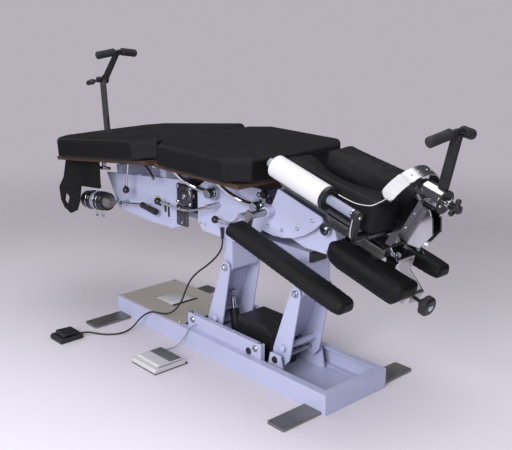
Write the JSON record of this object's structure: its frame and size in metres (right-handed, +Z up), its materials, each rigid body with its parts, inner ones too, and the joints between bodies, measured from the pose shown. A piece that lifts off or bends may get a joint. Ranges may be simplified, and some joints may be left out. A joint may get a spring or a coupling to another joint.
{
  "type": "flexion-distraction table",
  "caption": "Padded treatment table on a parallelogram lift with a flexing, sliding foot section, tilting head section and swinging armrests.",
  "frame": {"origin": "on the floor under the middle of the base", "axes": "+X along the table to the head end, +Y across it to the far side, +Z up"},
  "size_m": [2.048, 0.859, 1.1198],
  "materials": {
    "grey_paint": "satin",
    "beige_plate": "satin",
    "bare_steel": "brushed",
    "dark_steel": "satin",
    "chrome": "polished",
    "zinc": "satin",
    "black_vinyl": "satin",
    "brown_board": "satin",
    "black_plastic": "matte",
    "black_foam": "matte",
    "white_plastic": "satin",
    "grey_plastic": "satin",
    "paper": "matte",
    "webbing": "matte"
  },
  "bodies": {
    "base": {"base_frame": "grey_paint", "cover_plate": "beige_plate", "outrigger_bars": "bare_steel", "side_brackets": "grey_paint", "lower_pivot_pins": "bare_steel", "power_unit_cover": "black_plastic", "black_pedal_base": "bare_steel", "white_pedal_base": "white_plastic", "pedal_cord": "black_plastic", "pedal_cable": "grey_plastic"},
    "black_treadle": {"black_pedal_treadle": "black_plastic"},
    "white_treadle": {"white_pedal_treadle": "white_plastic"},
    "foot_arm": {"foot_lift_arm": "grey_paint"},
    "head_arm": {"head_lift_arm": "grey_paint"},
    "ram_barrel": {"ram_cylinder": "black_plastic"},
    "ram_piston": {"ram_rod": "chrome"},
    "chassis": {"lift_beam": "grey_paint", "rubber_fittings": "black_plastic", "lift_pedestals": "grey_paint", "chassis_shell": "grey_paint", "thoracic_board": "brown_board", "thoracic_cushion": "black_vinyl", "support_bars": "chrome", "bar_clamps": "zinc", "swing_clevis": "dark_steel"},
    "rollers": {"tilt_rollers": "zinc"},
    "tilt_lock": {"head_tilt_lever": "chrome"},
    "flexion_lock": {"flexion_lever": "chrome"},
    "swing": {"swing_block": "dark_steel"},
    "caudal": {"caudal_beam": "grey_paint", "traction_motor": "grey_plastic"},
    "grip": {"grip_lever": "chrome"},
    "carriage": {"caudal_board": "brown_board", "caudal_cushion": "black_vinyl", "ankle_strap": "webbing", "chrome_posts": "chrome"},
    "traction_lock": {"traction_lever": "chrome"},
    "foot_handle": {"foot_handle_arm": "black_plastic", "foot_handle_grips": "black_foam"},
    "foot_clamp": {"foot_clamp_lever": "black_plastic"},
    "head": {"sector_plates": "grey_paint", "head_rails": "bare_steel", "head_board": "dark_steel", "face_pads": "black_vinyl", "roll_spindle": "grey_plastic", "head_end_bracket": "chrome", "handle_barrel": "chrome", "barrel_disc": "black_plastic", "head_post": "black_plastic", "head_grips": "black_foam", "lower_bracket": "bare_steel", "chest_bolster": "black_vinyl", "paper_strap": "white_plastic"},
    "roll": {"paper_roll": "paper"},
    "star": {"star_knob": "black_plastic"},
    "tension": {"tension_knob": "black_plastic"},
    "near_arm": {"near_arm_bracket": "bare_steel", "near_arm_pad": "black_vinyl"},
    "far_arm": {"far_arm_bracket": "bare_steel", "far_arm_pad": "black_vinyl"}
  },
  "joints": [
    {"name": "lift", "type": "hinge", "parent": "base", "child": "foot_arm", "pos_m": [-0.054, 0, 0.09], "axis": [0, 1, 0], "range_deg": [0, 42]},
    {"name": "head_arm_turn", "type": "hinge", "parent": "base", "child": "head_arm", "pos_m": [0.325, 0, 0.09], "axis": [0, 1, 0], "range_deg": [0, 42]},
    {"name": "chassis_level", "type": "hinge", "parent": "foot_arm", "child": "chassis", "pos_m": [0.018, 0, 0.35592], "axis": [0, 1, 0], "range_deg": [-42, 0]},
    {"name": "ram_turn", "type": "hinge", "parent": "base", "child": "ram_barrel", "pos_m": [-0.0057, 0, 0.0552], "axis": [0, 1, 0], "range_deg": [0, 34.1]},
    {"name": "ram_stroke", "type": "slide", "parent": "ram_barrel", "child": "ram_piston", "axis": [-0.1845, 0, 0.9828], "range_m": [-0.0377, 0]},
    {"name": "roller_spin", "type": "hinge", "parent": "chassis", "child": "rollers", "pos_m": [0.533, 0, 0.622], "axis": [0, 1, 0], "continuous": true},
    {"name": "head_tilt", "type": "hinge", "parent": "chassis", "child": "head", "pos_m": [0.3, 0, 0.853], "axis": [0, 1, 0], "range_deg": [-25.5, 0]},
    {"name": "tilt_lock_turn", "type": "hinge", "parent": "chassis", "child": "tilt_lock", "pos_m": [0.154, 0, 0.596], "axis": [0, 1, 0], "range_deg": [-12, 6]},
    {"name": "flexion_lock_turn", "type": "hinge", "parent": "chassis", "child": "flexion_lock", "pos_m": [-0.016, 0, 0.596], "axis": [0, 1, 0], "range_deg": [-10, 8]},
    {"name": "lateral_swing", "type": "hinge", "parent": "chassis", "child": "swing", "pos_m": [-0.188, 0, 0.598], "axis": [0, 0, 1], "range_deg": [-6, 6]},
    {"name": "flexion", "type": "hinge", "parent": "swing", "child": "caudal", "pos_m": [-0.188, 0, 0.598], "axis": [0, 1, 0], "range_deg": [-20, 0]},
    {"name": "traction", "type": "slide", "parent": "caudal", "child": "carriage", "axis": [-0.9925, 0, -0.1219], "range_m": [0, 0.075]},
    {"name": "grip_turn", "type": "hinge", "parent": "caudal", "child": "grip", "pos_m": [-0.618, 0, 0.492], "axis": [0, 1, 0], "range_deg": [-12, 20]},
    {"name": "traction_lock_turn", "type": "hinge", "parent": "carriage", "child": "traction_lock", "pos_m": [-0.511, 0, 0.69624], "axis": [0, 1, 0], "range_deg": [-25, 25]},
    {"name": "foot_handle_tilt", "type": "hinge", "parent": "carriage", "child": "foot_handle", "pos_m": [-0.96, 0, 0.975], "axis": [0, 1, 0], "range_deg": [-20, 35]},
    {"name": "foot_clamp_turn", "type": "hinge", "parent": "foot_handle", "child": "foot_clamp", "pos_m": [-0.96, 0, 0.975], "axis": [0, 1, 0], "range_deg": [-20, 40]},
    {"name": "roll_turn", "type": "hinge", "parent": "head", "child": "roll", "pos_m": [0.54432, -0.215, 0.806], "axis": [0.9636, 0, -0.2672], "continuous": true},
    {"name": "star_knob_turn", "type": "hinge", "parent": "head", "child": "star", "pos_m": [0.97322, 0, 0.76592], "axis": [0.9636, 0, -0.2672], "continuous": true},
    {"name": "tension_knob_turn", "type": "hinge", "parent": "head", "child": "tension", "pos_m": [0.85179, 0, 0.44781], "axis": [0.9636, 0, -0.2672], "continuous": true},
    {"name": "near_arm_tilt", "type": "hinge", "parent": "head", "child": "near_arm", "pos_m": [0.28328, -0.12, 0.63556], "axis": [0, 1, 0], "range_deg": [-12, 15]},
    {"name": "far_arm_tilt", "type": "hinge", "parent": "head", "child": "far_arm", "pos_m": [0.28328, 0.12, 0.63556], "axis": [0, 1, 0], "range_deg": [-12, 15]},
    {"name": "black_treadle_press", "type": "hinge", "parent": "base", "child": "black_treadle", "pos_m": [-0.5, -0.502, 0.0244], "axis": [-1, 0, 0], "range_deg": [0, 3]},
    {"name": "white_treadle_press", "type": "hinge", "parent": "base", "child": "white_treadle", "pos_m": [-0.08, -0.381, 0.022], "axis": [-1, 0, 0], "range_deg": [0, 2]}
  ],
  "couplings": [
    {"joint": "head_arm_turn", "follows": "lift", "ratio": 1},
    {"joint": "chassis_level", "follows": "lift", "ratio": -1},
    {"joint": "ram_turn", "follows": "lift", "ratio": 0.799},
    {"joint": "ram_stroke", "follows": "lift", "m_per_rad": -0.050734}
  ]
}
